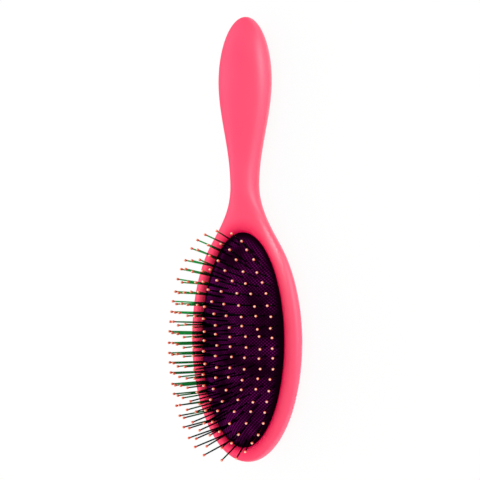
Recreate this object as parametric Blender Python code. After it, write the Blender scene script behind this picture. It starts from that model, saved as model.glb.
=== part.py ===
"""Cushion hair brush, lying on its back with the pins up.

Metres. +Z runs up through the pins, +Y runs from the head towards the handle's end, and X is across.
The origin is under the middle of the whole brush, on the surface that it lies on.
"""

import math

import bmesh
import bpy
from mathutils import Vector

MM = 0.001

# Outline of the body, seen from above, from the head's centre to the handle's end
HEAD_HALF_WIDTH = 35.7 * MM
HEAD_HALF_LENGTH = 62.1 * MM
SHOULDER_SHARE = 0.786
NECK_RUN = 30.2 * MM
NECK_HALF_WIDTH = 7.5 * MM
GRIP_RUN = 52.0 * MM
GRIP_HALF_WIDTH = 15.6 * MM
GRIP_END_RUN = 32.7 * MM

# Depths of the body, above and below the line where its two shells part
HEAD_BACK_DEPTH = 8.6 * MM
BACK_LAND_DEPTH = 0.5 * MM
BACK_ROUNDNESS = 3.0
NECK_HALF_DEPTH = 7.2 * MM
GRIP_HALF_DEPTH = 9.9 * MM
WALL = 2.2 * MM
FIT_GAP = 0.3 * MM
OVERRUN = 5.0 * MM

# Oval mouth of the front shell, and the collar under its lip
RIM_WIDTH = 8.4 * MM
RIM_END_WIDTH = 7.4 * MM
RIM_RISE = 5.0 * MM
LIP_SLOPE_WIDTH = 1.3 * MM
LIP_DROP = 1.6 * MM
COLLAR_THICKNESS = 2.0 * MM
COLLAR_DROP = 1.0 * MM
COLLAR_ROOT = 0.1 * MM
COLLAR_TRIM = 0.9 * MM

# Locating tongue of the back shell, inside the front shell
TONGUE_INSET = 3.6 * MM
TONGUE_THICKNESS = 1.0 * MM
TONGUE_RISE = 1.7 * MM
TONGUE_ROOM_SHARE = 0.75

# Rubber cushion: a domed air cushion with a flange, clamped between collar and seat
RING_RISE = 1.6 * MM
DOME_STEP = math.radians(8.2)
CUSHION_THICKNESS = 1.6 * MM
FLANGE_THICKNESS = 1.6 * MM
FLANGE_WIDTH = 2.2 * MM
THROAT_DROP = 0.2 * MM
THROAT_INSET = 2.2 * MM
SEAT_THICKNESS = 2.4 * MM
CROWN_FLAT_SHARE = 0.3

# Pins: nested oval rings round one straight centre row
RING_COUNT = 5
RING_MARGIN = 1.9 * MM
RING_END_MARGIN = 4.6 * MM
RING_SHIFT = 1.8 * MM
INNER_LENGTH_SHARE = 0.463
OUTER_RING_PINS = 48
FEWER_PINS_PER_RING = 6
STRIPS_PER_RING = 6
CENTRE_PINS = 8
CENTRE_ROW_SHARE = 0.384
RING_START_SHARES = (0.97, 0.49, 0.93, 0.38, 0.84)
SIDE_LEAN = math.radians(30.8)
FAR_END_LEAN_SHARE = 0.18
OUTER_LEAN_CURVE = 0.36
INNER_LEAN_CURVE = 1.75
END_LEAN = math.radians(24.0)
END_LEAN_CURVE = 2.4
PIN_LENGTH = 18.1 * MM
PIN_RADIUS = 0.6 * MM
BALL_RADIUS = 1.05 * MM

# Strips of the cushion's face that carry the pins
STRIP_HALF_SHARE = 0.3
OUTER_STRIP_SHARE = 0.35
STRIP_THICKNESS = 0.5 * MM
STRIP_GAP = 0.55 * MM

# Faceting
SECTION_STEPS = 12
HEAD_STATIONS = 12
NECK_STATIONS = 12
GRIP_STATIONS = 8
END_STATIONS = 8
OVAL_STEPS = 44
DOME_STEPS_PER_RING = 2
SHOULDER_STEPS = 4
ARC_SAMPLES = 720
POINT_SIZE = 0.003 * MM
SHARP_ANGLE = math.radians(40.0)

# Places worked out from the sizes above, measured along Y from the head's centre
SHOULDER_Y = SHOULDER_SHARE * HEAD_HALF_LENGTH
NECK_Y = SHOULDER_Y + NECK_RUN
GRIP_Y = NECK_Y + GRIP_RUN
END_Y = GRIP_Y + GRIP_END_RUN
HEAD_CENTRE_Y = (HEAD_HALF_LENGTH - END_Y) / 2
HEAD_PARTING = HEAD_BACK_DEPTH - BACK_LAND_DEPTH
CREST_HEIGHT = HEAD_PARTING + RIM_RISE
MOUTH_HEIGHT = CREST_HEIGHT - LIP_DROP
MOUTH_HALF_WIDTH = HEAD_HALF_WIDTH - RIM_WIDTH
MOUTH_HALF_LENGTH = HEAD_HALF_LENGTH - RIM_END_WIDTH
CREST_HALF_WIDTH = MOUTH_HALF_WIDTH + LIP_SLOPE_WIDTH
CREST_HALF_LENGTH = MOUTH_HALF_LENGTH + LIP_SLOPE_WIDTH
COLLAR_BOTTOM = MOUTH_HEIGHT - COLLAR_DROP
FLANGE_TOP = COLLAR_BOTTOM - FIT_GAP
FLANGE_BOTTOM = FLANGE_TOP - FLANGE_THICKNESS
SEAT_TOP = FLANGE_BOTTOM - FIT_GAP
THROAT_HALF_WIDTH = MOUTH_HALF_WIDTH - FIT_GAP
THROAT_HALF_LENGTH = MOUTH_HALF_LENGTH - FIT_GAP
RING_HALF_WIDTH = MOUTH_HALF_WIDTH - RING_MARGIN
RING_HALF_LENGTH = MOUTH_HALF_LENGTH - RING_END_MARGIN
RING_PITCH_ACROSS = RING_HALF_WIDTH / RING_COUNT
RING_PITCH_ALONG = RING_HALF_LENGTH * (1 - INNER_LENGTH_SHARE) / RING_COUNT
CENTRE_PITCH = 2 * CENTRE_ROW_SHARE * RING_HALF_LENGTH / CENTRE_PINS
DOME_RADIUS = RING_HALF_WIDTH / math.sin(RING_COUNT * DOME_STEP)
CROWN_HEIGHT = MOUTH_HEIGHT + RING_RISE + DOME_RADIUS * (1 - math.cos(RING_COUNT * DOME_STEP))


def mix(start, end, share):
    return start + (end - start) * share


def smooth(share):
    """Eases from 0 to 1 with level ends."""
    share = min(max(share, 0.0), 1.0)
    return share * share * (3 - 2 * share)


def quarter(share, power=2.0):
    """Falls from 1 to 0 as an ellipse's quarter does."""
    return math.sqrt(max(0.0, 1 - min(abs(share), 1.0) ** power))


def neck_blend(y, start, slope, end, start_y, end_y):
    """Cubic curve that leaves start at a given slope and arrives level at end."""
    run = end_y - start_y
    share = (y - start_y) / run
    leaving = run * slope * share * (1 - share) ** 2
    return mix(start, end, smooth(share)) + leaving


def half_width(y, inset=0.0):
    """Half the body's width at y from the head's centre."""
    width = HEAD_HALF_WIDTH - inset
    length = HEAD_HALF_LENGTH - inset
    shoulder_y = SHOULDER_SHARE * length
    if y <= shoulder_y:
        return width * quarter(y / length)
    if y <= NECK_Y:
        start = width * quarter(shoulder_y / length)
        slope = -(width / length) ** 2 * shoulder_y / start
        return neck_blend(y, start, slope, NECK_HALF_WIDTH - inset, shoulder_y, NECK_Y)
    if y <= GRIP_Y:
        return mix(NECK_HALF_WIDTH, GRIP_HALF_WIDTH, smooth((y - NECK_Y) / GRIP_RUN)) - inset
    return (GRIP_HALF_WIDTH - inset) * quarter((y - GRIP_Y) / (GRIP_END_RUN - inset))


def handle_depth(y, head_depth, start_y, inset):
    """Half depth from the head's end of the neck to the handle's end, the same above and below."""
    if y <= NECK_Y:
        return mix(head_depth, NECK_HALF_DEPTH, smooth((y - start_y) / (NECK_Y - start_y))) - inset
    if y <= GRIP_Y:
        return mix(NECK_HALF_DEPTH, GRIP_HALF_DEPTH, smooth((y - NECK_Y) / GRIP_RUN)) - inset
    return (GRIP_HALF_DEPTH - inset) * quarter((y - GRIP_Y) / (GRIP_END_RUN - inset))


def back_depth(y, inset=0.0):
    if y <= 0:
        return (HEAD_BACK_DEPTH - inset) * quarter(y / (HEAD_HALF_LENGTH - inset), BACK_ROUNDNESS)
    return handle_depth(y, HEAD_BACK_DEPTH, 0, inset)


def parting(y):
    """Height of the line where the shells part."""
    return mix(HEAD_PARTING, GRIP_HALF_DEPTH, smooth(y / NECK_Y))


def front_depth(y, inset=0.0):
    """Keeps the lip's crest level all round the mouth."""
    if y >= CREST_HALF_LENGTH:
        start = CREST_HEIGHT - parting(CREST_HALF_LENGTH)
        return handle_depth(y, start, CREST_HALF_LENGTH, inset)
    if y <= -CREST_HALF_LENGTH:
        end_width = HEAD_HALF_LENGTH - CREST_HALF_LENGTH
        past = (-y - CREST_HALF_LENGTH) / (end_width - inset)
        return (CREST_HEIGHT - HEAD_PARTING - inset) * quarter(past)
    crest_x = CREST_HALF_WIDTH * quarter(y / CREST_HALF_LENGTH)
    return (CREST_HEIGHT - parting(y)) / quarter(crest_x / half_width(y)) - inset


def stations(inset):
    """Places along Y, closer together towards both round ends."""
    head = HEAD_HALF_LENGTH - inset
    end = GRIP_END_RUN - inset
    turn = math.pi / 2
    places = [-head * math.cos(turn * i / HEAD_STATIONS) for i in range(HEAD_STATIONS)]
    places += [NECK_Y * i / NECK_STATIONS for i in range(NECK_STATIONS)]
    places += [NECK_Y + GRIP_RUN * i / GRIP_STATIONS for i in range(GRIP_STATIONS)]
    places += [GRIP_Y + end * math.sin(turn * i / END_STATIONS) for i in range(END_STATIONS + 1)]
    return places


def section(y, inset, sides, lift, floor):
    """One cross-section of the body: a half one above or below the parting line, or a whole one."""
    first, last = sides
    open_end = 1 if last - first == 1 else 0
    points = []
    for i in range(SECTION_STEPS * (last - first) + open_end):
        angle = math.pi * (first + i / SECTION_STEPS)
        across = half_width(y, inset) * math.cos(angle)
        depth = front_depth(y, inset) if math.sin(angle) >= 0 else back_depth(y, inset)
        up = parting(y) + lift + (depth - abs(lift)) * math.sin(angle)
        points.append((across, HEAD_CENTRE_Y + y, max(up, floor)))
    return points


def wall_middle(x, y):
    """Height of the middle of the back shell's wall."""
    outer = back_depth(y) * quarter(x / half_width(y))
    inner = back_depth(y, WALL) * quarter(x / half_width(y, WALL))
    return parting(y) - mix(inner, outer, 0.5)


def oval_turns():
    """Turns clockwise from the end nearest the handle."""
    return [2 * math.pi * i / OVAL_STEPS for i in range(OVAL_STEPS)]


def oval(half_wide, half_long, height, centre=0):
    middle = HEAD_CENTRE_Y + centre
    return [(half_wide * math.sin(t), middle + half_long * math.cos(t), height) for t in oval_turns()]


def material(name, colour, roughness):
    shade = bpy.data.materials.new(name)
    shade.use_nodes = True
    principled = shade.node_tree.nodes["Principled BSDF"]
    principled.inputs["Base Color"].default_value = (*colour, 1.0)
    principled.inputs["Roughness"].default_value = roughness
    principled.inputs["Metallic"].default_value = 0.0
    shade.diffuse_color = (*colour, 1.0)
    return shade


def add_object(name, builder, shades):
    mesh = bpy.data.meshes.new(name)
    bmesh.ops.recalc_face_normals(builder, faces=builder.faces)
    builder.to_mesh(mesh)
    builder.free()
    mesh.set_sharp_from_angle(angle=SHARP_ANGLE)
    for shade in shades:
        mesh.materials.append(shade)
    made = bpy.data.objects.new(name, mesh)
    bpy.context.scene.collection.objects.link(made)
    return made


def loft(name, loops, shades, closed=False):
    """Joins loops of equal length. A loop of one repeated point becomes a tip."""
    builder = bmesh.new()
    rows = []
    for loop in loops:
        if (Vector(loop[0]) - Vector(loop[len(loop) // 2])).length < POINT_SIZE:
            rows.append([builder.verts.new(loop[0])] * len(loop))
        else:
            rows.append([builder.verts.new(point) for point in loop])
    pairs = list(zip(rows, rows[1:]))
    if closed:
        pairs.append((rows[-1], rows[0]))
    for low, high in pairs:
        for i in range(len(low)):
            j = (i + 1) % len(low)
            corners = list(dict.fromkeys((low[i], low[j], high[j], high[i])))
            if len(corners) > 2:
                builder.faces.new(corners)
    if not closed:
        for row in (rows[0], rows[-1]):
            if row[0] is not row[1]:
                builder.faces.new(row)
    return add_object(name, builder, shades)


def as_helper(made):
    made.hide_render = True
    made.display_type = "WIRE"
    return made


def combine(target, helper, operation):
    step = target.modifiers.new(operation.title() + " " + helper.name, "BOOLEAN")
    step.operation = operation
    step.solver = "EXACT"
    step.object = helper
    as_helper(helper)


def half_body(name, sides, lift, shade):
    loops = [section(y, 0, sides, lift, 0) for y in stations(0)]
    return loft(name, loops, [shade])


def cavity(name, shade):
    """The hollow inside both shells, which stays a wall above the flat land."""
    loops = [section(y, WALL, (0, 2), 0, WALL) for y in stations(WALL)]
    return loft(name, loops, [shade])


def oval_ring(name, inner, outer, low, high, shade):
    """A wall with an oval plan, between two offsets from the mouth."""
    sizes = [(inner, low), (outer, low), (outer, high), (inner, high)]
    loops = [oval(MOUTH_HALF_WIDTH + out, MOUTH_HALF_LENGTH + out, z) for out, z in sizes]
    return loft(name, loops, [shade], closed=True)


def mouth_cutter(shade):
    sizes = [(0, COLLAR_BOTTOM - OVERRUN), (0, MOUTH_HEIGHT)]
    sizes += [(LIP_SLOPE_WIDTH, CREST_HEIGHT), (LIP_SLOPE_WIDTH, CREST_HEIGHT + OVERRUN)]
    loops = [oval(MOUTH_HALF_WIDTH + out, MOUTH_HALF_LENGTH + out, z) for out, z in sizes]
    return loft("mouth_cutter", loops, [shade])


def tongue_loop(inset, on_top):
    """One edge of the tongue: its top, under the front shell's ceiling, or its root in the wall."""
    side = []
    for y in stations(inset):
        x = half_width(y, inset)
        height = wall_middle(x, y)
        if on_top:
            outer_x = half_width(y, TONGUE_INSET)
            ceiling = front_depth(y, WALL) * quarter(outer_x / half_width(y, WALL))
            height = parting(y) + min(TONGUE_RISE, TONGUE_ROOM_SHARE * ceiling)
        side.append((x, HEAD_CENTRE_Y + y, height))
    return side + [(-x, y, z) for x, y, z in reversed(side[1:-1])]


def tongue(shade):
    outer = TONGUE_INSET
    inner = TONGUE_INSET + TONGUE_THICKNESS
    corners = [(outer, False), (outer, True), (inner, True), (inner, False)]
    loops = [tongue_loop(inset, on_top) for inset, on_top in corners]
    return loft("tongue", loops, [shade], closed=True)


def cushion_seat(shade):
    """An oval rib from the back shell's floor up to the cushion's flange."""
    sizes = [COLLAR_THICKNESS - SEAT_THICKNESS, COLLAR_THICKNESS]
    tops = [oval(MOUTH_HALF_WIDTH + out, MOUTH_HALF_LENGTH + out, SEAT_TOP) for out in sizes]
    roots = [[(x, y, wall_middle(x, y - HEAD_CENTRE_Y)) for x, y, z in top] for top in tops]
    return loft("cushion_seat", [roots[0], tops[0], tops[1], roots[1]], [shade], closed=True)


def front_shell(shade):
    shell = half_body("front_shell", (0, 1), FIT_GAP / 2, shade)
    combine(shell, cavity("front_cavity", shade), "DIFFERENCE")
    collar_top = MOUTH_HEIGHT + COLLAR_ROOT
    collar = oval_ring("collar", -COLLAR_TRIM, COLLAR_THICKNESS, COLLAR_BOTTOM, collar_top, shade)
    combine(shell, collar, "UNION")
    combine(shell, mouth_cutter(shade), "DIFFERENCE")
    return shell


def back_shell(shade):
    shell = half_body("back_shell", (1, 2), -FIT_GAP / 2, shade)
    combine(shell, cavity("back_cavity", shade), "DIFFERENCE")
    combine(shell, tongue(shade), "UNION")
    combine(shell, cushion_seat(shade), "UNION")
    return shell


def dome_level(ring):
    """Half width, half length, height and centre. Level -1 is the throat, 0 the outer pin ring."""
    if ring < 0:
        wide = mix(RING_HALF_WIDTH, THROAT_HALF_WIDTH, -ring)
        long = mix(RING_HALF_LENGTH, THROAT_HALF_LENGTH, -ring)
        return wide, long, MOUTH_HEIGHT - THROAT_DROP, -RING_SHIFT * (1 + ring)
    wide = RING_HALF_WIDTH - ring * RING_PITCH_ACROSS
    long = RING_HALF_LENGTH - ring * RING_PITCH_ALONG
    fall = DOME_RADIUS * (1 - math.cos(DOME_STEP * (RING_COUNT - ring)))
    return wide, long, CROWN_HEIGHT - fall, -RING_SHIFT


def shoulder_rise(ring, turn):
    """Height above the throat. The dome's slope at the outer pin ring runs on into the shoulder."""
    rise = dome_level(0)[2] - dome_level(-1)[2]
    across = (THROAT_HALF_WIDTH - RING_HALF_WIDTH) * math.sin(turn)
    along = (THROAT_HALF_LENGTH - RING_HALF_LENGTH) * math.cos(turn) + RING_SHIFT
    step = math.hypot(RING_PITCH_ACROSS * math.sin(turn), RING_PITCH_ALONG * math.cos(turn))
    slope = RING_HALF_WIDTH * DOME_STEP / step
    return rise * (1 + ring) ** (slope * math.hypot(across, along) / rise)


def dome_point(ring, turn, lift=0.0):
    wide, long, height, centre = dome_level(ring)
    if ring < 0:
        height += shoulder_rise(ring, turn)
    y = HEAD_CENTRE_Y + centre + long * math.cos(turn)
    return Vector((wide * math.sin(turn), y, height + lift))


def cushion(shade):
    crown = RING_COUNT - CROWN_FLAT_SHARE
    top_levels = [i / SHOULDER_STEPS - 1 for i in range(SHOULDER_STEPS)]
    top_levels += [i / DOME_STEPS_PER_RING for i in range(DOME_STEPS_PER_RING * RING_COUNT)]
    top_levels.append(crown)
    loops = []
    for ring in [crown, *range(RING_COUNT - 1, -1, -1)]:
        wide, long, height, centre = dome_level(ring)
        shrink = CUSHION_THICKNESS * (1 - ring / RING_COUNT) / 2
        loops.append(oval(wide - shrink, long - shrink, height - CUSHION_THICKNESS, centre))
    throat_wide = THROAT_HALF_WIDTH - THROAT_INSET
    throat_long = THROAT_HALF_LENGTH - THROAT_INSET
    flange_wide = THROAT_HALF_WIDTH + FLANGE_WIDTH
    flange_long = THROAT_HALF_LENGTH + FLANGE_WIDTH
    loops.append(oval(throat_wide, throat_long, FLANGE_TOP))
    loops.append(oval(throat_wide, throat_long, FLANGE_BOTTOM))
    loops.append(oval(flange_wide, flange_long, FLANGE_BOTTOM))
    loops.append(oval(flange_wide, flange_long, FLANGE_TOP))
    loops.append(oval(THROAT_HALF_WIDTH, THROAT_HALF_LENGTH, FLANGE_TOP))
    loops += [[dome_point(ring, turn) for turn in oval_turns()] for ring in top_levels]
    return loft("cushion", loops, [shade])


def evenly_round(ring, shares):
    """Turns at given shares of the way round a pin ring, by distance and not by angle."""
    turns = [2 * math.pi * i / ARC_SAMPLES for i in range(ARC_SAMPLES + 1)]
    points = [dome_point(ring, turn) for turn in turns]
    walked = [0.0]
    for before, after in zip(points, points[1:]):
        walked.append(walked[-1] + (after - before).length)
    found = []
    for share in shares:
        goal = share % 1 * walked[-1]
        place = next(i for i in range(ARC_SAMPLES) if walked[i + 1] >= goal)
        part = (goal - walked[place]) / (walked[place + 1] - walked[place])
        found.append(mix(turns[place], turns[place + 1], part))
    return found, walked[-1]


def pin_direction(ring, turn):
    """Pins lean out to the sides more with each ring, and along the brush only near its ends."""
    side = SIDE_LEAN * math.sin(math.pi / 2 * (RING_COUNT - ring) / RING_COUNT)
    side *= 1 - FAR_END_LEAN_SHARE * math.cos(turn)
    end = END_LEAN * dome_level(ring)[1] / RING_HALF_LENGTH
    curve = mix(OUTER_LEAN_CURVE, INNER_LEAN_CURVE, ring / (RING_COUNT - 1))
    across = math.tan(side) * math.copysign(abs(math.sin(turn)) ** curve, math.sin(turn))
    along = math.tan(end) * math.copysign(abs(math.cos(turn)) ** END_LEAN_CURVE, math.cos(turn))
    return Vector((across, along, 1.0)).normalized()


def add_pin(builder, root, aim, side, patch):
    """A square pin with a pointed ball, grown out of one four-sided patch of its strip."""
    ahead = side.cross(aim).normalized()
    across = aim.cross(ahead)
    corners = [across - ahead, across + ahead, ahead - across, -across - ahead]
    levels = [(0.0, PIN_RADIUS), (PIN_LENGTH - 2 * BALL_RADIUS, PIN_RADIUS)]
    levels.append((PIN_LENGTH - BALL_RADIUS, BALL_RADIUS))
    rows = []
    for far, radius in levels:
        rows.append([builder.verts.new(root + aim * far + c.normalized() * radius) for c in corners])
    for low, high in zip([patch] + rows, rows):
        for i in range(4):
            builder.faces.new((low[i], low[(i + 1) % 4], high[(i + 1) % 4], high[i]))
    top = builder.verts.new(root + aim * PIN_LENGTH)
    for i in range(4):
        builder.faces.new((rows[-1][i], rows[-1][(i + 1) % 4], top))
    return [face for vert in rows[-1] for face in vert.link_faces]


def pin_strip(name, edges, pins, shades):
    """A strip of the cushion's face. Edges are (inner, outer) points, pins are (point, aim, side)."""
    builder = bmesh.new()
    lift = Vector((0, 0, STRIP_THICKNESS))
    rows = []
    for inner, outer in edges:
        corners = (inner, outer, outer + lift, inner + lift)
        rows.append([builder.verts.new(corner) for corner in corners])
    for low, high in zip(rows, rows[1:]):
        for i in (0, 1, 3):
            j = (i + 1) % 4
            builder.faces.new((low[i], low[j], high[j], high[i]))
    builder.faces.new(rows[0])
    builder.faces.new(rows[-1])
    balls = []
    for (low, high), (point, aim, side) in zip(zip(rows, rows[1:]), pins):
        patch = [low[2], high[2], high[3], low[3]]
        balls += add_pin(builder, point, aim, side, patch)
    for face in balls:
        face.material_index = 1
    return add_object(name, builder, shades)


def ring_strips(ring, shades):
    """Cuts one ring of pins into strips, each with its share of the pins."""
    count = OUTER_RING_PINS - FEWER_PINS_PER_RING * ring
    per_strip = count // STRIPS_PER_RING
    inner_ring = ring + STRIP_HALF_SHARE
    outer_ring = ring - STRIP_HALF_SHARE if ring else -OUTER_STRIP_SHARE
    round_length = evenly_round(ring, [0])[1]
    trim = FIT_GAP / round_length
    for strip in range(STRIPS_PER_RING):
        first = strip * per_strip + RING_START_SHARES[ring]
        cuts = [(first + i - 0.5) / count for i in range(per_strip + 1)]
        cuts[0] += trim
        cuts[-1] -= trim
        cut_turns = evenly_round(ring, cuts)[0]
        edges = []
        for turn in cut_turns:
            edges.append((dome_point(inner_ring, turn, STRIP_GAP), dome_point(outer_ring, turn, STRIP_GAP)))
        pins = []
        for turn in evenly_round(ring, [(first + i) / count for i in range(per_strip)])[0]:
            point = dome_point(ring, turn, STRIP_GAP + STRIP_THICKNESS)
            side = dome_point(ring - STRIP_HALF_SHARE, turn) - dome_point(ring, turn)
            pins.append((point, pin_direction(ring, turn), side))
        pin_strip(f"pin_strip_{ring + 1}{'abcdef'[strip]}", edges, pins, shades)


def centre_strip(shades):
    """The straight row of pins along the crown."""
    half_wide = STRIP_HALF_SHARE * RING_PITCH_ACROSS
    height = dome_level(RING_COUNT)[2] + STRIP_GAP
    half_long = CENTRE_PINS * CENTRE_PITCH / 2 - FIT_GAP
    edges = []
    pins = []
    for i in range(CENTRE_PINS + 1):
        y = min(max((i - CENTRE_PINS / 2) * CENTRE_PITCH, -half_long), half_long)
        at = HEAD_CENTRE_Y - RING_SHIFT + y
        edges.append((Vector((half_wide, at, height)), Vector((-half_wide, at, height))))
    for i in range(CENTRE_PINS):
        y = (i + 0.5 - CENTRE_PINS / 2) * CENTRE_PITCH
        lean = math.tan(END_LEAN * y / RING_HALF_LENGTH)
        point = Vector((0, HEAD_CENTRE_Y - RING_SHIFT + y, height + STRIP_THICKNESS))
        pins.append((point, Vector((0, lean, 1)).normalized(), Vector((-1, 0, 0))))
    pin_strip("pin_strip_centre", edges, pins, shades)


def clear_scene():
    for old in list(bpy.data.objects):
        bpy.data.objects.remove(old, do_unlink=True)


def main():
    clear_scene()
    coral = material("coral_soft_touch", (1.0, 0.095, 0.19), 0.45)
    rubber = material("plum_rubber", (0.022, 0.001, 0.02), 0.6)
    nylon = material("black_nylon", (0.01, 0.012, 0.01), 0.35)
    coating = material("salmon_tip", (0.85, 0.16, 0.1), 0.4)
    front_shell(coral)
    back_shell(coral)
    cushion(rubber)
    for ring in range(RING_COUNT):
        ring_strips(ring, [nylon, coating])
    centre_strip([nylon, coating])


main()
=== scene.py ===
"""Looks of the cushion hair brush, lying on its back with the pins up.

Metres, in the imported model's frame: +Z up through the pins, +Y towards the handle's end.
Places along the brush are measured from the head's centre, as they are in the part's source.
"""

import math
import random

import bmesh
import bpy
from mathutils import Matrix, Vector


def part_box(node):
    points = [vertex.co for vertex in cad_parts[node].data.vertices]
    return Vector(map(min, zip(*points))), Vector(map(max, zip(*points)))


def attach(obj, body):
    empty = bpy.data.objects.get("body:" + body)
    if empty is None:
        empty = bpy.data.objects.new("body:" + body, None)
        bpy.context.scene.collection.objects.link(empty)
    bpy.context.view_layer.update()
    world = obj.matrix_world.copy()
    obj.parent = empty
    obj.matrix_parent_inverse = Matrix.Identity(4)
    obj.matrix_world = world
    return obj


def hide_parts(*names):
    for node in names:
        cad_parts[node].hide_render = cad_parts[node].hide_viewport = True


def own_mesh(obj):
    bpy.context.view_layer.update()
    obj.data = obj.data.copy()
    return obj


MM = 0.001

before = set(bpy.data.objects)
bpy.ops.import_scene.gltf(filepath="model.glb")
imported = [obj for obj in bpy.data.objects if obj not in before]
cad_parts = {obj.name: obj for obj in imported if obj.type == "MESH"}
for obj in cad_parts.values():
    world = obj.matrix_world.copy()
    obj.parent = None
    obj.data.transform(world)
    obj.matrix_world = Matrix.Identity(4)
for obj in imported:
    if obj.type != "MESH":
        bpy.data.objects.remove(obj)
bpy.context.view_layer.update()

# Outline of the body
HEAD_HALF_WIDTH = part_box("front_shell")[1][0]
HEAD_HALF_LENGTH = 62.1 * MM
SHOULDER_SHARE = 0.786
NECK_RUN = 30.2 * MM
NECK_HALF_WIDTH = 7.5 * MM
GRIP_RUN = 52.0 * MM
GRIP_HALF_WIDTH = 15.6 * MM
GRIP_END_RUN = 32.7 * MM
SHOULDER_Y = SHOULDER_SHARE * HEAD_HALF_LENGTH
NECK_Y = SHOULDER_Y + NECK_RUN
GRIP_Y = NECK_Y + GRIP_RUN
END_Y = GRIP_Y + GRIP_END_RUN
HEAD_CENTRE_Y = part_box("front_shell")[0][1] + HEAD_HALF_LENGTH

# Depths of the body above and below the line where the shells part
HEAD_BACK_DEPTH = 8.6 * MM
BACK_ROUNDNESS = 3.0
HEAD_PARTING = 8.1 * MM
NECK_HALF_DEPTH = 7.2 * MM
GRIP_HALF_DEPTH = 9.9 * MM
SEAM_GAP = 0.06 * MM
SEAM_ROUND = 0.06 * MM
SEAM_DEPTH = 1.8 * MM

# Mouth, lip and rim
RIM_WIDTH = 8.4 * MM
RIM_END_WIDTH = 7.4 * MM
RIM_RISE = 5.0 * MM
LIP_DROP = 1.6 * MM
CREST_OFFSET = 1.3 * MM
MOUTH_HALF_WIDTH = HEAD_HALF_WIDTH - RIM_WIDTH
MOUTH_HALF_LENGTH = HEAD_HALF_LENGTH - RIM_END_WIDTH
CREST_HEIGHT = HEAD_PARTING + RIM_RISE
MOUTH_HEIGHT = CREST_HEIGHT - LIP_DROP
CREST_HALF_WIDTH = MOUTH_HALF_WIDTH + CREST_OFFSET
CREST_HALF_LENGTH = MOUTH_HALF_LENGTH + CREST_OFFSET
THROAT_DEPTH = 1.0 * MM
EDGE_ROUND = 0.15 * MM
BEAD_START = 0.35
BEAD_POWER = 3.5
ROUNDING_SHARE = 0.3
RIM_BLEND_START = 20.0 * MM
DISH_SPREAD = 8.0 * MM
DISH_END = 85.0 * MM
DISH_BLEND = 10.0 * MM
JOIN_Y = 68.0 * MM

# Cushion
RING_RISE = 1.6 * MM
DOME_STEP = math.radians(8.2)
RING_COUNT = 5
RING_MARGIN = 1.9 * MM
RING_END_MARGIN = 4.6 * MM
RING_SHIFT = 1.8 * MM
CROWN_LENGTH_SHARE = 0.463
RING_HALF_WIDTH = MOUTH_HALF_WIDTH - RING_MARGIN
RING_HALF_LENGTH = MOUTH_HALF_LENGTH - RING_END_MARGIN
RING_PITCH_ACROSS = RING_HALF_WIDTH / RING_COUNT
RING_PITCH_ALONG = RING_HALF_LENGTH * (1 - CROWN_LENGTH_SHARE) / RING_COUNT
DOME_RADIUS = RING_HALF_WIDTH / math.sin(RING_COUNT * DOME_STEP)
CROWN_RISE = RING_RISE + DOME_RADIUS * (1 - math.cos(RING_COUNT * DOME_STEP))
THROAT_DROP = 0.2 * MM
FIT_GAP = 0.3 * MM
THROAT_HALF_WIDTH = MOUTH_HALF_WIDTH - FIT_GAP
THROAT_HALF_LENGTH = MOUTH_HALF_LENGTH - FIT_GAP
CUSHION_THICKNESS = 1.6 * MM
CUSHION_LEG = 1.2 * MM

# Pins
OUTER_RING_PINS = 48
FEWER_PINS_PER_RING = 6
STRIPS_PER_RING = 6
RING_START_SHARES = (0.97, 0.49, 0.93, 0.38, 0.84)
CENTRE_PINS = 8
CENTRE_ROW_SHARE = 0.384
CENTRE_PITCH = 2 * CENTRE_ROW_SHARE * RING_HALF_LENGTH / CENTRE_PINS
SIDE_LEAN = math.radians(30.8)
FAR_END_LEAN_SHARE = 0.18
OUTER_LEAN_CURVE = 0.36
INNER_LEAN_CURVE = 1.75
END_LEAN = math.radians(24.0)
END_LEAN_CURVE = 2.4
PIN_LIFT = 1.05 * MM
PIN_LENGTH = 18.1 * MM
PIN_DEPTH = 1.9 * MM
PIN_ROOT_RADIUS = 0.42 * MM
PIN_TIP_RADIUS = 0.37 * MM
BALL_RADIUS = 0.66 * MM
BALL_STRETCH = 1.35
COLLAR_RADIUS = 0.95 * MM
COLLAR_RISE = 0.45 * MM
RUBBER, NYLON, BALL_SKIRT, BALL_MIDDLE, BALL_CROWN_HIGHLIGHT = range(5)
LEAN_SPREAD = math.radians(1.4)
LEAN_LIMIT = 2.0
SEED = 11

# Mesh fineness
SECTION_STEPS = 32
OUTLINE_STEPS = 72
HEAD_OUTLINE_SHARE = 0.9
JOIN_STEPS = 8
HANDLE_STEPS = 30
BACK_HEAD_STEPS = 34
DISH_STEPS = 8
RIM_STEPS = 12
LIP_STEPS = 6
DOME_STEPS = 4
SHOULDER_STEPS = 8
OVAL_STEPS = 144
PIN_SIDES = 10
BALL_ROWS = 8
MIDDLE_TURN = math.radians(85.0)
CROWN_TURN = math.radians(125.0)
ARC_SAMPLES = 720
SHARP_ANGLE = math.radians(40.0)

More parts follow.
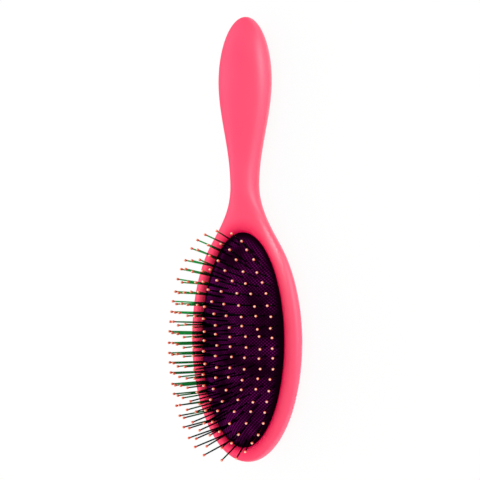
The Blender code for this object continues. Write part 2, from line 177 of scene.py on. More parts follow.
# Colours
BODY_COLOUR = (1.0, 0.05, 0.138)
BODY_PALE_COLOUR = (1.0, 0.054, 0.144)
# Painted shade: a deeper coral where the lip slopes down into the mouth and over the dish above it,
# fading out over these widths from the mouth's edge.
LIP_SHADE_COLOUR = (1.0, 0.0, 0.085)
LIP_SHADE_FADE = 6.5 * MM
FAR_END_SHADE_FADE = 2.5 * MM
DISH_SHADE_FADE = 9.0 * MM
PLUM_COLOUR = (0.007, 0.0, 0.004)
THREAD_COLOUR = (0.26, 0.008, 0.19)
# Painted shade: the cushion darkens to nearly black over EDGE_SHADE next to the lip.
EDGE_SHADE_COLOUR = (0.006, 0.0004, 0.004)
EDGE_SHADE = 5.0 * MM
NYLON_COLOUR = (0.002, 0.008, 0.006)
NYLON_GREEN = (0.012, 0.3, 0.05)
# The balls are red to salmon. The pale peach on their crowns is a painted highlight.
TIP_COATINGS = (
    ("tip_red", (0.72, 0.05, 0.025), 0.15),
    ("tip_salmon", (0.9, 0.16, 0.09), 0.1),
    ("tip_peach_highlight", (1.0, 0.66, 0.46), 0.06),
)
WHITE = (1.0, 1.0, 1.0, 1.0)

# Finishes. A bump is its strength and its height. A wave texture repeats every WAVE_UNIT.
BODY_ROUGHNESS = 0.38
BODY_ROUGHNESS_SPREAD = 0.03
BODY_SPECULAR = 0.5
BODY_CLOUD_SCALE = 45.0
BODY_CLOUD_DETAIL = 3.0
BODY_COLOUR_SPAN = (0.35, 0.65)
BODY_ROUGHNESS_SPAN = (0.3, 0.7)
PEBBLE_SCALE = 4200.0
PEBBLE_DETAIL = 1.0
PEBBLE_BUMP = (0.15, 0.02 * MM)
RUBBER_ROUGHNESS = 0.8
LATTICE_PITCH = 1.15 * MM
LATTICE_ANGLE = math.radians(45.0)
LATTICE_DISTORTION = 0.3
LATTICE_BUMP = (0.6, 0.1 * MM)
WAVE_UNIT = math.pi / 10
PATCH_SCALE = 70.0
PATCH_DETAIL = 4.0
PATCH_SPAN = (0.38, 0.66)
PATCH_LEAST = 0.1
NYLON_ROUGHNESS = 0.25
NYLON_SPECULAR = 0.12
NYLON_IOR = 1.08
NYLON_CLOUD_SCALE = 60.0
NYLON_CLOUD_DETAIL = 2.0
NYLON_GREEN_RISE = (-0.25, 0.65)
NYLON_GREEN_SPAN = (0.3, 0.9)
TIP_ROUGHNESS = 0.4
TIP_SPECULAR = 0.3
TIP_CLOUD_SCALE = 900.0
TIP_CLOUD_DETAIL = 2.0
TIP_COLOUR_SPAN = (0.35, 0.65)
FLOOR_COLOUR = (0.86, 0.86, 0.86)
FLOOR_ROUGHNESS = 0.9
FLOOR_REACH = 3.0

# Light. The sky and the floor look brighter in gloss towards the right, as in the photograph.
SKY_LEVEL = 1.15
SKY_LEFT_GLOSS = 0.04
SKY_RIGHT_GLOSS = 0.4
SKY_GLOSS_SPAN = (-0.6, 0.6)
FLOOR_WHITE_SHARE = 0.93
FLOOR_LEFT_GLOSS = 0.08
FLOOR_RIGHT_GLOSS = 4.0
FLOOR_GLOSS_SPAN = (-0.02, 0.05)

# Lamps: place, width and height, power. The left box lights only what is matt, and the gloss
# boxes and the shoulder's beams show only in gloss.
GLOSS_BOXES = (
    ("right_box", (1.0, 0.22, 0.25), (1.1, 0.6), 6.0),
    ("upper_box", (0.8, 0.45, 0.4), (0.6, 0.6), 3.2),
)
LEFT_BOX = ("left_box", (-1.0, 0.0, 0.3), (1.5, 0.6), 6.0)
SHOULDER_BEAMS = (((0.079, 0.411, 0.692), 0.0085), ((0.195, 0.491, 0.612), 0.006))
SHOULDER_BEAM_SIZE = (0.08, 0.08)
SHOULDER_BEAM_SPREAD = math.radians(8.0)
SHOULDER_PLACE = (0.015, -0.005, 0.012)
BRUSH_MIDDLE = (0.0, 0.0, 0.0)

# Camera, fitted to the photograph's 480 by 480 frame
IMAGE_SIZE = 480
CAMERA_TARGET = Vector((0, 0, 12.0 * MM))
CAMERA_DISTANCE = 964.5 * MM
CAMERA_SIDE_TILT = math.radians(40.46)
CAMERA_END_TILT = math.radians(0.88)
CAMERA_ROLL = math.radians(0.17)
PIXELS_PER_METRE = 1975.0
TARGET_PIXEL_X = 241.9
TARGET_PIXEL_Y = 239.9
SENSOR_WIDTH = 36.0


def mix(start, end, share):
    return start + (end - start) * share


def smooth(share):
    """Eases from 0 to 1 with level ends."""
    share = min(max(share, 0.0), 1.0)
    return share * share * (3 - 2 * share)


def quarter(share, power=2.0):
    """Falls from 1 to 0 as an ellipse's quarter does."""
    return math.sqrt(max(0.0, 1 - min(abs(share), 1.0) ** power))


def half_width(y):
    if y <= SHOULDER_Y:
        return HEAD_HALF_WIDTH * quarter(y / HEAD_HALF_LENGTH)
    if y <= NECK_Y:
        start = HEAD_HALF_WIDTH * quarter(SHOULDER_Y / HEAD_HALF_LENGTH)
        slope = -((HEAD_HALF_WIDTH / HEAD_HALF_LENGTH) ** 2) * SHOULDER_Y / start
        run = NECK_Y - SHOULDER_Y
        share = (y - SHOULDER_Y) / run
        return mix(start, NECK_HALF_WIDTH, smooth(share)) + run * slope * share * (1 - share) ** 2
    if y <= GRIP_Y:
        return mix(NECK_HALF_WIDTH, GRIP_HALF_WIDTH, smooth((y - NECK_Y) / (GRIP_Y - NECK_Y)))
    return GRIP_HALF_WIDTH * quarter((y - GRIP_Y) / GRIP_END_RUN)


def handle_depth(y, head_depth, start_y):
    if y <= NECK_Y:
        return mix(head_depth, NECK_HALF_DEPTH, smooth((y - start_y) / (NECK_Y - start_y)))
    if y <= GRIP_Y:
        return mix(NECK_HALF_DEPTH, GRIP_HALF_DEPTH, smooth((y - NECK_Y) / (GRIP_Y - NECK_Y)))
    return GRIP_HALF_DEPTH * quarter((y - GRIP_Y) / GRIP_END_RUN)


def back_depth(y):
    if y <= 0:
        return HEAD_BACK_DEPTH * quarter(y / HEAD_HALF_LENGTH, BACK_ROUNDNESS)
    return handle_depth(y, HEAD_BACK_DEPTH, 0)


def parting(y):
    return mix(HEAD_PARTING, GRIP_HALF_DEPTH, smooth(y / NECK_Y))


def crest_depth(y):
    """Front depth that keeps the lip's crest level, and follows the handle past it."""
    if y >= CREST_HALF_LENGTH:
        return handle_depth(y, CREST_HEIGHT - parting(CREST_HALF_LENGTH), CREST_HALF_LENGTH)
    crest_x = CREST_HALF_WIDTH * quarter(y / CREST_HALF_LENGTH)
    return (CREST_HEIGHT - parting(y)) / quarter(crest_x / half_width(y))


def front_depth(y):
    """The crest's depth, eased over a few millimetres into the dish between mouth and neck."""
    steps = [i / DISH_STEPS for i in range(-DISH_STEPS, DISH_STEPS + 1)]
    eased = sum(crest_depth(y + DISH_SPREAD * step) for step in steps) / len(steps)
    return mix(eased, crest_depth(y), smooth((y - DISH_END) / DISH_BLEND))


def at(x, y, z):
    return Vector((x, HEAD_CENTRE_Y + y, z))


def shared_principled(name, colour, roughness, specular):
    shade = bpy.data.materials.new(name)
    shade.use_nodes = True
    shader = shade.node_tree.nodes["Principled BSDF"]
    shader.inputs["Base Color"].default_value = (*colour, 1.0)
    shader.inputs["Roughness"].default_value = roughness
    shader.inputs["Specular IOR Level"].default_value = specular
    return shade, shade.node_tree, shader


def add_node(tree, kind, inputs=None, **settings):
    node = tree.nodes.new(kind)
    for key, value in settings.items():
        setattr(node, key, value)
    for key, value in (inputs or {}).items():
        if isinstance(value, bpy.types.NodeSocket):
            tree.links.new(value, node.inputs[key])
        else:
            node.inputs[key].default_value = value
    return node


def object_place(tree):
    return add_node(tree, "ShaderNodeTexCoord").outputs["Object"]


def part_of(tree, vector, axis):
    return add_node(tree, "ShaderNodeSeparateXYZ", {"Vector": vector}).outputs[axis]


def cloud(tree, place, scale, detail):
    """Soft random patches, mostly between 0.3 and 0.7."""
    settings = {"Vector": place, "Scale": scale, "Detail": detail}
    return add_node(tree, "ShaderNodeTexNoise", settings).outputs["Fac"]


def add_bump(tree, shader, height, bump):
    settings = {"Height": height, "Strength": bump[0], "Distance": bump[1]}
    normal = add_node(tree, "ShaderNodeBump", settings).outputs["Normal"]
    tree.links.new(normal, shader.inputs["Normal"])


def map_range(tree, value, low, high, start, end, kind="LINEAR"):
    """Turns values from low to high into values from start to end, and holds them outside."""
    spans = {"Value": value, "From Min": low, "From Max": high, "To Min": start, "To Max": end}
    return add_node(tree, "ShaderNodeMapRange", spans, interpolation_type=kind).outputs["Result"]


def math_node(tree, operation, first, second):
    return add_node(tree, "ShaderNodeMath", {0: first, 1: second}, operation=operation).outputs[0]


def vector_node(tree, operation, first, second):
    both = {0: first, 1: second}
    return add_node(tree, "ShaderNodeVectorMath", both, operation=operation).outputs[0]


def vector_length(tree, vector):
    node = add_node(tree, "ShaderNodeVectorMath", {0: vector}, operation="LENGTH")
    return node.outputs["Value"]


def seen_plainly(tree, ray):
    """1 for what the camera sees, directly or through the pins' nylon."""
    direct, through = ray.outputs["Is Camera Ray"], ray.outputs["Is Transmission Ray"]
    return math_node(tree, "MAXIMUM", direct, through)


def blend_shaders(tree, share, start, end, output):
    """Blends two shaders into the surface of a material or of the world."""
    blend = add_node(tree, "ShaderNodeMixShader", {0: share, 1: start, 2: end}).outputs[0]
    tree.links.new(blend, tree.nodes[output].inputs["Surface"])


def blend_colours(tree, share, start, end):
    mixed = add_node(tree, "ShaderNodeMix", {"Factor": share}, data_type="RGBA")
    for key, colour in (("A", start), ("B", end)):
        socket = next(s for s in mixed.inputs if s.name == key and s.type == "RGBA")
        if isinstance(colour, bpy.types.NodeSocket):
            tree.links.new(colour, socket)
        else:
            socket.default_value = (*colour, 1.0)
    return next(s for s in mixed.outputs if s.type == "RGBA")


def from_mouth(tree, place):
    """Distance outwards from the mouth's edge in plan. It is negative over the cushion."""
    centred = vector_node(tree, "SUBTRACT", place, (0, HEAD_CENTRE_Y, 0))
    flat = vector_node(tree, "MULTIPLY", centred, (1, 1, 0))
    to_unit = (1 / MOUTH_HALF_WIDTH, 1 / MOUTH_HALF_LENGTH, 0)
    reach = vector_length(tree, vector_node(tree, "MULTIPLY", flat, to_unit))
    length = vector_length(tree, flat)
    return math_node(tree, "SUBTRACT", length, math_node(tree, "DIVIDE", length, reach))


def soft_touch(name, with_lip_shade):
    """Coral soft-touch coating: satin and finely pebbled. On the front, painted shade deepens the
    coral down into the mouth and over the dish above it.
    """
    shade, tree, shader = shared_principled(name, BODY_COLOUR, BODY_ROUGHNESS, BODY_SPECULAR)
    place = object_place(tree)
    patches = cloud(tree, place, BODY_CLOUD_SCALE, BODY_CLOUD_DETAIL)
    worn = map_range(tree, patches, *BODY_COLOUR_SPAN, 0.0, 1.0)
    colour = blend_colours(tree, worn, BODY_COLOUR, BODY_PALE_COLOUR)
    if with_lip_shade:
        # Painted shade: the coral deepens towards the mouth's edge, over a wider band in the dish
        # towards the neck and a little wider at the far end.
        along = part_of(tree, place, "Y")
        low, high = HEAD_CENTRE_Y + RIM_BLEND_START, HEAD_CENTRE_Y + CREST_HALF_LENGTH
        lip_shade_width = map_range(tree, along, low, high, LIP_SHADE_FADE, DISH_SHADE_FADE)
        low, high = HEAD_CENTRE_Y - MOUTH_HALF_LENGTH, HEAD_CENTRE_Y
        lip_shade_width = math_node(tree, "ADD", lip_shade_width, map_range(tree, along, low, high, FAR_END_SHADE_FADE, 0.0))
        share = math_node(tree, "DIVIDE", from_mouth(tree, place), lip_shade_width)
        share = map_range(tree, share, 0.0, 1.0, 0.0, 1.0, "SMOOTHERSTEP")
        colour = blend_colours(tree, share, LIP_SHADE_COLOUR, colour)
    tree.links.new(colour, shader.inputs["Base Color"])
    least, most = BODY_ROUGHNESS - BODY_ROUGHNESS_SPREAD, BODY_ROUGHNESS + BODY_ROUGHNESS_SPREAD
    rough = map_range(tree, patches, *BODY_ROUGHNESS_SPAN, least, most)
    tree.links.new(rough, shader.inputs["Roughness"])
    add_bump(tree, shader, cloud(tree, place, PEBBLE_SCALE, PEBBLE_DETAIL), PEBBLE_BUMP)
    return shade


def lattice_rubber():
    """Dark plum rubber with a fine diagonal lattice pressed in, and painted shade that darkens it
    to nearly black where it dips to the lip.
    """
    name = "plum_lattice_rubber"
    shade, tree, shader = shared_principled(name, PLUM_COLOUR, RUBBER_ROUGHNESS, 0.0)
    place = object_place(tree)
    scale = WAVE_UNIT / LATTICE_PITCH
    waves = []
    for direction in (LATTICE_ANGLE, -LATTICE_ANGLE):
        turn = {"Vector": place, "Rotation": (0, 0, direction)}
        turned = add_node(tree, "ShaderNodeMapping", turn).outputs[0]
        wave = {"Vector": turned, "Scale": scale, "Distortion": LATTICE_DISTORTION}
        waves.append(add_node(tree, "ShaderNodeTexWave", wave).outputs["Fac"])
    weave = math_node(tree, "MULTIPLY", *waves)
    patches = cloud(tree, place, PATCH_SCALE, PATCH_DETAIL)
    patches = map_range(tree, patches, *PATCH_SPAN, PATCH_LEAST, 1.0)
    threads = math_node(tree, "MULTIPLY", weave, patches)
    colour = blend_colours(tree, threads, PLUM_COLOUR, THREAD_COLOUR)
    # Painted shade, darkest at the lip.
    out = from_mouth(tree, place)
    edge = map_range(tree, out, -EDGE_SHADE, -THROAT_DEPTH, 0.0, 1.0, "SMOOTHERSTEP")
    colour = blend_colours(tree, edge, colour, EDGE_SHADE_COLOUR)
    tree.links.new(colour, shader.inputs["Base Color"])
    add_bump(tree, shader, weave, LATTICE_BUMP)
    return shade


def pin_nylon():
    """Nearly black nylon that shows green where light comes through it."""
    name = "green_black_nylon"
    shade, tree, shader = shared_principled(name, NYLON_COLOUR, NYLON_ROUGHNESS, NYLON_SPECULAR)
    shader.inputs["Transmission Weight"].default_value = 1.0
    shader.inputs["IOR"].default_value = NYLON_IOR
    place = object_place(tree)
    low, high = HEAD_CENTRE_Y - RING_HALF_LENGTH, HEAD_CENTRE_Y + RING_HALF_LENGTH
    greener = map_range(tree, part_of(tree, place, "Y"), low, high, *NYLON_GREEN_RISE)
    patches = cloud(tree, place, NYLON_CLOUD_SCALE, NYLON_CLOUD_DETAIL)
    share = math_node(tree, "ADD", greener, patches)
    share = map_range(tree, share, *NYLON_GREEN_SPAN, 0.0, 1.0)
    colour = blend_colours(tree, share, NYLON_COLOUR, NYLON_GREEN)
    tree.links.new(colour, shader.inputs["Base Color"])
    return shade


def tip_coating(name, colour, spread):
    """Dipped ball coating, its colour a little uneven."""
    shade, tree, shader = shared_principled(name, colour, TIP_ROUGHNESS, TIP_SPECULAR)
    patches = cloud(tree, object_place(tree), TIP_CLOUD_SCALE, TIP_CLOUD_DETAIL)
    share = map_range(tree, patches, *TIP_COLOUR_SPAN, 0.0, 1.0)
    dark = [part * (1 - spread) for part in colour]
    tree.links.new(blend_colours(tree, share, dark, colour), shader.inputs["Base Color"])
    return shade


def add_object(name, builder, shades):
    """Makes a smooth-shaded piece, with its true corners kept sharp."""
    bmesh.ops.recalc_face_normals(builder, faces=builder.faces)
    for face in builder.faces:
        face.smooth = True
    mesh = bpy.data.meshes.new(name)
    builder.to_mesh(mesh)
    builder.free()
    mesh.set_sharp_from_angle(angle=SHARP_ANGLE)
    for shade in shades:
        mesh.materials.append(shade)
    made = bpy.data.objects.new(name, mesh)
    bpy.context.scene.collection.objects.link(made)
    return made


def bridge(builder, low, high, closed=False, kind=0):
    """Faces between two rows of vertices. Repeated vertices make triangles."""
    count = len(low) if closed else len(low) - 1
    for i in range(count):
        j = (i + 1) % len(low)
        corners = list(dict.fromkeys((low[i], low[j], high[j], high[i])))
        if len(corners) > 2:
            builder.faces.new(corners).material_index = kind


def seam_inset(x, y, depth):
    """The outline's point moved inwards by about depth, at any place round the body."""
    if y <= 0:
        return x * (1 - depth / HEAD_HALF_WIDTH), y * (1 - depth / HEAD_HALF_LENGTH)
    if y >= GRIP_Y:
        past = (y - GRIP_Y) * (1 - depth / GRIP_END_RUN)
        return x * (1 - depth / GRIP_HALF_WIDTH), GRIP_Y + past
    return x - math.copysign(depth, x), y


def add_seam(builder, outline, side):
    """Rounds a shell's edge and turns it in, so that the shells part in a fine dark line."""
    previous = outline
    for depth, drop in ((SEAM_ROUND, SEAM_ROUND), (SEAM_DEPTH, SEAM_ROUND)):
        row = []
        for vert in outline:
            x, y = seam_inset(vert.co.x, vert.co.y - HEAD_CENTRE_Y, depth)
            row.append(builder.verts.new(at(x, y, vert.co.z - side * drop)))
        bridge(builder, previous, row, closed=True)
        previous = row


def seam_height(y, side):
    """Where a shell's wall ends, which leaves half the gap and the edge's rounding."""
    return parting(y) + side * (SEAM_GAP / 2 + SEAM_ROUND)


def outline_point(share):
    """Right half of the head's outline, from the join with the handle to the head's far end."""
    shoulder_turn = math.acos(SHOULDER_Y / HEAD_HALF_LENGTH)
    if share < 1 - HEAD_OUTLINE_SHARE:
        y = mix(JOIN_Y, SHOULDER_Y, share / (1 - HEAD_OUTLINE_SHARE))
        return half_width(y), y
    past = (share - 1 + HEAD_OUTLINE_SHARE) / HEAD_OUTLINE_SHARE
    turn = mix(shoulder_turn, math.pi, past)
    return HEAD_HALF_WIDTH * math.sin(turn), HEAD_HALF_LENGTH * math.cos(turn)


def rim_height(x, y, share):
    """Height of the front shell at a share of the way from the lip's crest to the outline."""
    base = seam_height(y, 1)
    along = BEAD_START + (1 - BEAD_START) * share
    crest = quarter(BEAD_START, BEAD_POWER)
    bead = base + (CREST_HEIGHT - base) * quarter(along, BEAD_POWER) / crest
    if y <= RIM_BLEND_START:
        return bead
    top = parting(y) + front_depth(y) - base
    body = base + top * quarter(x / half_width(y))
    return mix(bead, body, smooth((y - RIM_BLEND_START) / (CREST_HALF_LENGTH - RIM_BLEND_START)))


def head_boundary():
    """Outer edge of the head's patch, clockwise from its middle at the join with the handle."""
    width = half_width(JOIN_Y)
    turns = [math.pi / 2 * (1 - i / (SECTION_STEPS / 2)) for i in range(SECTION_STEPS // 2)]
    right = [(width * math.cos(t), JOIN_Y) for t in turns]
    right += [outline_point(i / OUTLINE_STEPS) for i in range(OUTLINE_STEPS + 1)]
    return right + [(-x, y) for x, y in reversed(right[1:-1])]


def lip_column(outer_x, outer_y):
    """One line of points from the throat, over the lip's crest, to the head's edge."""
    turn = math.atan2(outer_x / CREST_HALF_WIDTH, outer_y / CREST_HALF_LENGTH)

    def oval(offset):
        wide = MOUTH_HALF_WIDTH + offset
        long = MOUTH_HALF_LENGTH + offset
        return wide * math.sin(turn), long * math.cos(turn)

    crest = oval(CREST_OFFSET)

    def outside(share):
        x = mix(crest[0], outer_x, share)
        y = mix(crest[1], outer_y, share)
        return Vector((x, y, rim_height(x, y, share)))

    mouth = Vector((*oval(EDGE_ROUND), MOUTH_HEIGHT))
    start = outside(ROUNDING_SHARE)
    step = ROUNDING_SHARE / RIM_STEPS
    slope = (start - outside(ROUNDING_SHARE + step)) / step
    corner = start + slope * ROUNDING_SHARE
    points = [Vector((*oval(0), MOUTH_HEIGHT - depth)) for depth in (THROAT_DEPTH, EDGE_ROUND)]
    for i in range(LIP_STEPS):
        share = i / LIP_STEPS
        points.append(mouth.lerp(corner, share).lerp(corner.lerp(start, share), share))
    first = math.asin(ROUNDING_SHARE)
    for i in range(RIM_STEPS + 1):
        points.append(outside(math.sin(mix(first, math.pi / 2, i / RIM_STEPS))))
    return [at(*point) for point in points]


def handle_stations():
    """Places along the handle, closer together towards its round end."""
    steps = HANDLE_STEPS
    places = [mix(JOIN_Y, NECK_Y, i / JOIN_STEPS) for i in range(1, JOIN_STEPS)]
    places += [mix(NECK_Y, GRIP_Y, i / steps) for i in range(steps)]
    places += [GRIP_Y + GRIP_END_RUN * math.sin(math.pi / 2 * i / steps) for i in range(steps)]
    return places


def front_shell(shade):
    builder = bmesh.new()
    boundary = head_boundary()
    columns = [[builder.verts.new(p) for p in lip_column(x, y)] for x, y in boundary]
    for row in range(len(columns[0]) - 1):
        low = [column[row] for column in columns]
        high = [column[row + 1] for column in columns]
        bridge(builder, low, high, closed=True)
    half = SECTION_STEPS // 2
    edge = [column[-1] for column in columns]
    across = edge[-half:] + edge[: half + 1]
    left_edge, right_edge = [], []
    turns = [math.pi * (1 - i / SECTION_STEPS) for i in range(SECTION_STEPS + 1)]
    for y in handle_stations():
        base = seam_height(y, 1)
        wide, top = half_width(y), max(parting(y) + front_depth(y) - base, 0)
        points = [at(wide * math.cos(t), y, base + top * math.sin(t)) for t in turns]
        row = [builder.verts.new(point) for point in points]
        bridge(builder, across, row)
        across = row
        left_edge.append(row[0])
        right_edge.append(row[-1])
    tip = builder.verts.new(at(0, END_Y, seam_height(END_Y, 1)))
    bridge(builder, across, [tip] * len(across))
    outline = right_edge[::-1] + edge[half : len(edge) - half + 1] + left_edge + [tip]
    add_seam(builder, outline, 1)
    return add_object("front_shell_skin", builder, [shade])


def back_shell(shade):
    builder = bmesh.new()
    steps = BACK_HEAD_STEPS
    places = [-HEAD_HALF_LENGTH * math.cos(math.pi / 2 * i / steps) for i in range(1, steps)]
    places += [mix(0, JOIN_Y, i / steps) for i in range(steps + 1)]
    places += handle_stations()
    first = builder.verts.new(at(0, -HEAD_HALF_LENGTH, seam_height(-HEAD_HALF_LENGTH, -1)))
    rows = []
    turns = [math.pi * i / SECTION_STEPS for i in range(SECTION_STEPS + 1)]
    for y in places:
        base = seam_height(y, -1)
        wide, deep = half_width(y), max(base - (parting(y) - back_depth(y)), 0)
        points = [(wide * math.cos(t), base - deep * math.sin(t)) for t in turns]
        rows.append([builder.verts.new(at(x, y, max(z, 0))) for x, z in points])
    last = builder.verts.new(at(0, END_Y, seam_height(END_Y, -1)))
    bridge(builder, [first] * len(rows[0]), rows[0])
    for low, high in zip(rows, rows[1:]):
        bridge(builder, low, high)
    bridge(builder, rows[-1], [last] * len(rows[-1]))
    outline = [first] + [row[0] for row in rows] + [last] + [row[-1] for row in reversed(rows)]
    add_seam(builder, outline, -1)
    return add_object("back_shell_skin", builder, [shade])


def dome_level(ring):
    """Half width, half length, height and centre. Level -1 is the throat, 0 the outer pin ring."""
    if ring < 0:
        wide = mix(RING_HALF_WIDTH, THROAT_HALF_WIDTH, -ring)
        long = mix(RING_HALF_LENGTH, THROAT_HALF_LENGTH, -ring)
        return wide, long, MOUTH_HEIGHT - THROAT_DROP, -RING_SHIFT * (1 + ring)
    wide = RING_HALF_WIDTH - ring * RING_PITCH_ACROSS
    long = RING_HALF_LENGTH - ring * RING_PITCH_ALONG
    fall = DOME_RADIUS * (1 - math.cos(DOME_STEP * (RING_COUNT - ring)))
    return wide, long, MOUTH_HEIGHT + CROWN_RISE - fall, -RING_SHIFT


def shoulder_rise(ring, turn):
    """Height above the throat. The dome's slope at the outer pin ring runs on into the shoulder."""
    rise = dome_level(0)[2] - dome_level(-1)[2]
    across = (THROAT_HALF_WIDTH - RING_HALF_WIDTH) * math.sin(turn)
    along = (THROAT_HALF_LENGTH - RING_HALF_LENGTH) * math.cos(turn) + RING_SHIFT
    step = math.hypot(RING_PITCH_ACROSS * math.sin(turn), RING_PITCH_ALONG * math.cos(turn))
    slope = RING_HALF_WIDTH * DOME_STEP / step
    return rise * (1 + ring) ** (slope * math.hypot(across, along) / rise)


def dome_point(ring, turn, lift=0.0):
    wide, long, height, centre = dome_level(ring)
    if ring < 0:
        height += shoulder_rise(ring, turn)
    return at(wide * math.sin(turn), centre + long * math.cos(turn), height + lift)


def cushion(shade):
    """The rubber dome: one closed, crowned skin with a short leg down into the mouth."""
    builder = bmesh.new()
    turns = [2 * math.pi * i / OVAL_STEPS for i in range(OVAL_STEPS)]
    levels = [i / SHOULDER_STEPS - 1 for i in range(SHOULDER_STEPS)]
    levels += [i / DOME_STEPS for i in range(DOME_STEPS * RING_COUNT)]
    inside = levels[:0:-1]
    loops = [[dome_point(level, t, -CUSHION_THICKNESS) for t in turns] for level in inside]
    loops.append([dome_point(-1, t, -CUSHION_LEG) for t in turns])
    loops += [[dome_point(level, t) for t in turns] for level in levels]
    rows = [[builder.verts.new(p) for p in loop] for loop in loops]
    for low, high in zip(rows, rows[1:]):
        bridge(builder, low, high, closed=True)
    half = OVAL_STEPS // 2
    _, long, height, centre = dome_level(RING_COUNT)
    for row, lift in ((rows[0], -CUSHION_THICKNESS), (rows[-1], 0.0)):
        spine = [row[0]]
        for t in turns[1:half]:
            spine.append(builder.verts.new(at(0, centre + long * math.cos(t), height + lift)))
        spine.append(row[half])
        bridge(builder, row[: half + 1], spine)
        bridge(builder, spine, [row[0]] + row[: half - 1 : -1])
    return add_object("cushion_dome", builder, [shade])


def evenly_round(ring, shares):
    """Turns at given shares of the way round a pin ring, by distance and not by angle."""
    turns = [2 * math.pi * i / ARC_SAMPLES for i in range(ARC_SAMPLES + 1)]
    points = [dome_point(ring, turn) for turn in turns]
    walked = [0.0]
    for before, after in zip(points, points[1:]):
        walked.append(walked[-1] + (after - before).length)
    found = []
    for share in shares:
        goal = share % 1 * walked[-1]
        place = next(i for i in range(ARC_SAMPLES) if walked[i + 1] >= goal)
        part = (goal - walked[place]) / (walked[place + 1] - walked[place])
        found.append(mix(turns[place], turns[place + 1], part))
    return found


def pin_direction(ring, turn):
    """Pins lean out to the sides more with each ring, and along the brush only near its ends."""
    side = SIDE_LEAN * math.sin(math.pi / 2 * (RING_COUNT - ring) / RING_COUNT)
    side *= 1 - FAR_END_LEAN_SHARE * math.cos(turn)
    end = END_LEAN * dome_level(ring)[1] / RING_HALF_LENGTH
    curve = mix(OUTER_LEAN_CURVE, INNER_LEAN_CURVE, ring / (RING_COUNT - 1))
    across = math.tan(side) * math.copysign(abs(math.sin(turn)) ** curve, math.sin(turn))
    along = math.tan(end) * math.copysign(abs(math.cos(turn)) ** END_LEAN_CURVE, math.cos(turn))
    return Vector((across, along, 1.0)).normalized()


def add_pin(builder, root, aim, chance):
    """A round tapered pin with a rubber collar at its root and a dipped ball at its end."""
    sway = Vector((chance.gauss(0, 1), chance.gauss(0, 1), 0))
    if sway.length > LEAN_LIMIT:
        sway *= LEAN_LIMIT / sway.length
    aim = (aim + sway * math.tan(LEAN_SPREAD)).normalized()
    ball_half = BALL_RADIUS * BALL_STRETCH
    ball_middle = PIN_LENGTH - ball_half
    profile = [
        (-PIN_DEPTH, COLLAR_RADIUS, RUBBER),
        (-PIN_LIFT, COLLAR_RADIUS, RUBBER),
        (COLLAR_RISE - PIN_LIFT, PIN_ROOT_RADIUS, NYLON),
        (PIN_LENGTH / 2, mix(PIN_ROOT_RADIUS, PIN_TIP_RADIUS, 0.5), NYLON),
        (ball_middle - ball_half, PIN_TIP_RADIUS, BALL_SKIRT),
    ]
    for row in range(2, BALL_ROWS + 1):
        turn = math.pi * row / (BALL_ROWS + 1)
        far = ball_middle - ball_half * math.cos(turn)
        # The crown takes the pale peach of the painted highlight.
        kind = BALL_CROWN_HIGHLIGHT if turn > CROWN_TURN else BALL_MIDDLE
        if turn <= MIDDLE_TURN:
            kind = BALL_SKIRT
        profile.append((far, BALL_RADIUS * math.sin(turn), kind))
    across = aim.orthogonal().normalized()
    ahead = aim.cross(across)
    turns = [2 * math.pi * i / PIN_SIDES for i in range(PIN_SIDES)]
    previous = None
    for far, radius, kind in profile:
        middle = root + aim * far
        points = [middle + (across * math.cos(t) + ahead * math.sin(t)) * radius for t in turns]
        row = [builder.verts.new(point) for point in points]
        if previous is None:
            builder.faces.new(row)
        else:
            bridge(builder, previous, row, closed=True, kind=previous_kind)
        previous, previous_kind = row, kind
    top = builder.verts.new(root + aim * PIN_LENGTH)
    bridge(builder, previous, [top] * PIN_SIDES, closed=True, kind=BALL_CROWN_HIGHLIGHT)


def pin_places():
    """Every strip's name, its body, and its pins as (root, direction)."""
    places = []
    for ring in range(RING_COUNT):
        count = OUTER_RING_PINS - FEWER_PINS_PER_RING * ring
        per_strip = count // STRIPS_PER_RING
        for strip in range(STRIPS_PER_RING):
            first = strip * per_strip + RING_START_SHARES[ring]
            turns = evenly_round(ring, [(first + i) / count for i in range(per_strip)])
            pins = [(dome_point(ring, turn, PIN_LIFT), pin_direction(ring, turn)) for turn in turns]
            places.append((f"{ring + 1}{'abcdef'[strip]}", f"pins_ring_{ring + 1}", pins))
    height = dome_level(RING_COUNT)[2] + PIN_LIFT
    pins = []
    for i in range(CENTRE_PINS):
        y = (i + 0.5 - CENTRE_PINS / 2) * CENTRE_PITCH
        lean = math.tan(END_LEAN * y / RING_HALF_LENGTH)
        pins.append((at(0, y - RING_SHIFT, height), Vector((0, lean, 1)).normalized()))
    places.append(("centre", "pins_centre", pins))
    return places


def add_pins(shades):
    chance = random.Random(SEED)
    for name, body, pins in pin_places():
        builder = bmesh.new()
        for root, aim in pins:
            add_pin(builder, root, aim, chance)
        piece = add_object(f"pins_{name}", builder, shades)
        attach(piece, body)
        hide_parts(f"pin_strip_{name}")


def add_body():
    front = front_shell(soft_touch("coral_soft_touch_front", True))
    back = back_shell(soft_touch("coral_soft_touch_back", False))
    for piece, node in ((front, "front_shell"), (back, "back_shell")):
        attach(piece, "handle")
        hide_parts(node)


def add_cushion(rubber):
    dome = cushion(rubber)
    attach(dome, "handle")
    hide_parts("cushion")
    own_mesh(dome)


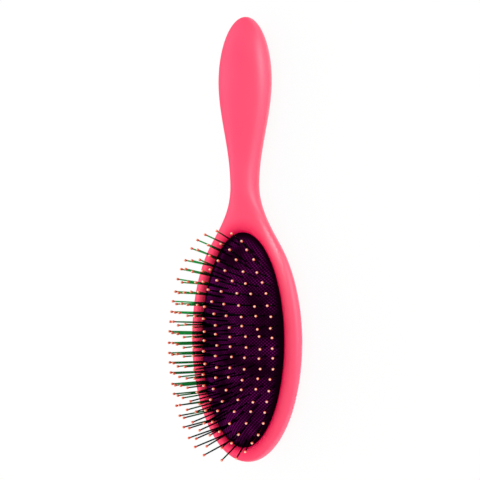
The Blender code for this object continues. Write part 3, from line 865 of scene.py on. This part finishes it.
def add_camera():
    toward = Vector(
        (
            math.sin(CAMERA_SIDE_TILT) * math.cos(CAMERA_END_TILT),
            math.sin(CAMERA_END_TILT),
            math.cos(CAMERA_SIDE_TILT) * math.cos(CAMERA_END_TILT),
        )
    )
    right = Vector((math.cos(CAMERA_SIDE_TILT), 0, -math.sin(CAMERA_SIDE_TILT)))
    up = toward.cross(right)
    rolled_right = right * math.cos(CAMERA_ROLL) + up * math.sin(CAMERA_ROLL)
    rolled_up = up * math.cos(CAMERA_ROLL) - right * math.sin(CAMERA_ROLL)
    data = bpy.data.cameras.new("camera")
    data.sensor_width = SENSOR_WIDTH
    data.lens = PIXELS_PER_METRE * CAMERA_DISTANCE * SENSOR_WIDTH / IMAGE_SIZE
    aside = (IMAGE_SIZE / 2 - TARGET_PIXEL_X) / PIXELS_PER_METRE
    above = (TARGET_PIXEL_Y - IMAGE_SIZE / 2) / PIXELS_PER_METRE
    middle = CAMERA_TARGET + rolled_right * aside + rolled_up * above
    camera = bpy.data.objects.new("camera", data)
    axes = Matrix((rolled_right, rolled_up, toward)).transposed().to_4x4()
    camera.matrix_world = Matrix.Translation(middle + toward * CAMERA_DISTANCE) @ axes
    bpy.context.scene.collection.objects.link(camera)
    bpy.context.scene.camera = camera


def add_floor():
    """A matt floor that shows nearly white to the camera and keeps a trace of the soft shadow.

    Its gloss level is for the brush's coating. Light through the pins' nylon also counts as
    glossy, so that is taken off again.
    """
    builder = bmesh.new()
    reach = FLOOR_REACH
    corners = ((-reach, -reach), (reach, -reach), (reach, reach), (-reach, reach))
    builder.faces.new([builder.verts.new((x, y, 0)) for x, y in corners])
    shade, tree, shader = shared_principled("white_floor", FLOOR_COLOUR, FLOOR_ROUGHNESS, 0.0)
    ray = add_node(tree, "ShaderNodeLightPath")
    glossy = ray.outputs["Is Glossy Ray"]
    whitened = math_node(tree, "MAXIMUM", seen_plainly(tree, ray), glossy)
    share = math_node(tree, "MULTIPLY", whitened, FLOOR_WHITE_SHARE)
    across = part_of(tree, object_place(tree), "X")
    gloss = map_range(tree, across, *FLOOR_GLOSS_SPAN, FLOOR_LEFT_GLOSS, FLOOR_RIGHT_GLOSS)
    mirrored = math_node(tree, "SUBTRACT", glossy, ray.outputs["Is Transmission Ray"])
    levels = {"Factor": mirrored, "A": 1.0, "B": gloss}
    level = add_node(tree, "ShaderNodeMix", levels, data_type="FLOAT").outputs["Result"]
    white = add_node(tree, "ShaderNodeEmission", {"Color": WHITE, "Strength": level})
    blend_shaders(tree, share, shader.outputs[0], white.outputs[0], "Material Output")
    floor = add_object("floor", builder, [shade])


def add_lamp(name, place, size, power, target=BRUSH_MIDDLE):
    """An area lamp that faces its target, unseen by the camera and through the pins' nylon."""
    data = bpy.data.lights.new(name, "AREA")
    data.shape = "RECTANGLE"
    data.size, data.size_y = size
    data.energy = power
    lamp = bpy.data.objects.new(name, data)
    lamp.location = place
    lamp.rotation_euler = (Vector(target) - Vector(place)).to_track_quat("-Z", "Y").to_euler()
    lamp.visible_camera = False
    lamp.visible_transmission = False
    bpy.context.scene.collection.objects.link(lamp)
    return lamp


def add_sky():
    """A white sky, dimmer in gloss, that shows plain white behind the brush."""
    world = bpy.data.worlds.new("studio")
    world.use_nodes = True
    tree = world.node_tree
    sky = tree.nodes["Background"]
    sky.inputs["Color"].default_value = WHITE
    ray = add_node(tree, "ShaderNodeLightPath")
    across = part_of(tree, add_node(tree, "ShaderNodeTexCoord").outputs["Generated"], "X")
    gloss = map_range(tree, across, *SKY_GLOSS_SPAN, SKY_LEFT_GLOSS, SKY_RIGHT_GLOSS)
    level = map_range(tree, ray.outputs["Is Glossy Ray"], 0.0, 1.0, SKY_LEVEL, gloss)
    tree.links.new(level, sky.inputs["Strength"])
    white = add_node(tree, "ShaderNodeBackground", {"Color": WHITE, "Strength": 1.0})
    seen = seen_plainly(tree, ray)
    blend_shaders(tree, seen, sky.outputs[0], white.outputs[0], "World Output")
    bpy.context.scene.world = world


def add_lamps():
    for box in GLOSS_BOXES:
        add_lamp(*box).visible_diffuse = False
    for place, power in SHOULDER_BEAMS:
        beam = add_lamp("shoulder_beam", place, SHOULDER_BEAM_SIZE, power, SHOULDER_PLACE)
        beam.data.spread = SHOULDER_BEAM_SPREAD
        beam.visible_diffuse = False
    add_lamp(*LEFT_BOX).visible_glossy = False


def main():
    add_camera()
    add_body()
    rubber = lattice_rubber()
    add_cushion(rubber)
    add_pins([rubber, pin_nylon()] + [tip_coating(*coating) for coating in TIP_COATINGS])
    add_floor()
    add_sky()
    add_lamps()
    bpy.context.scene.view_settings.view_transform = "Standard"


main()
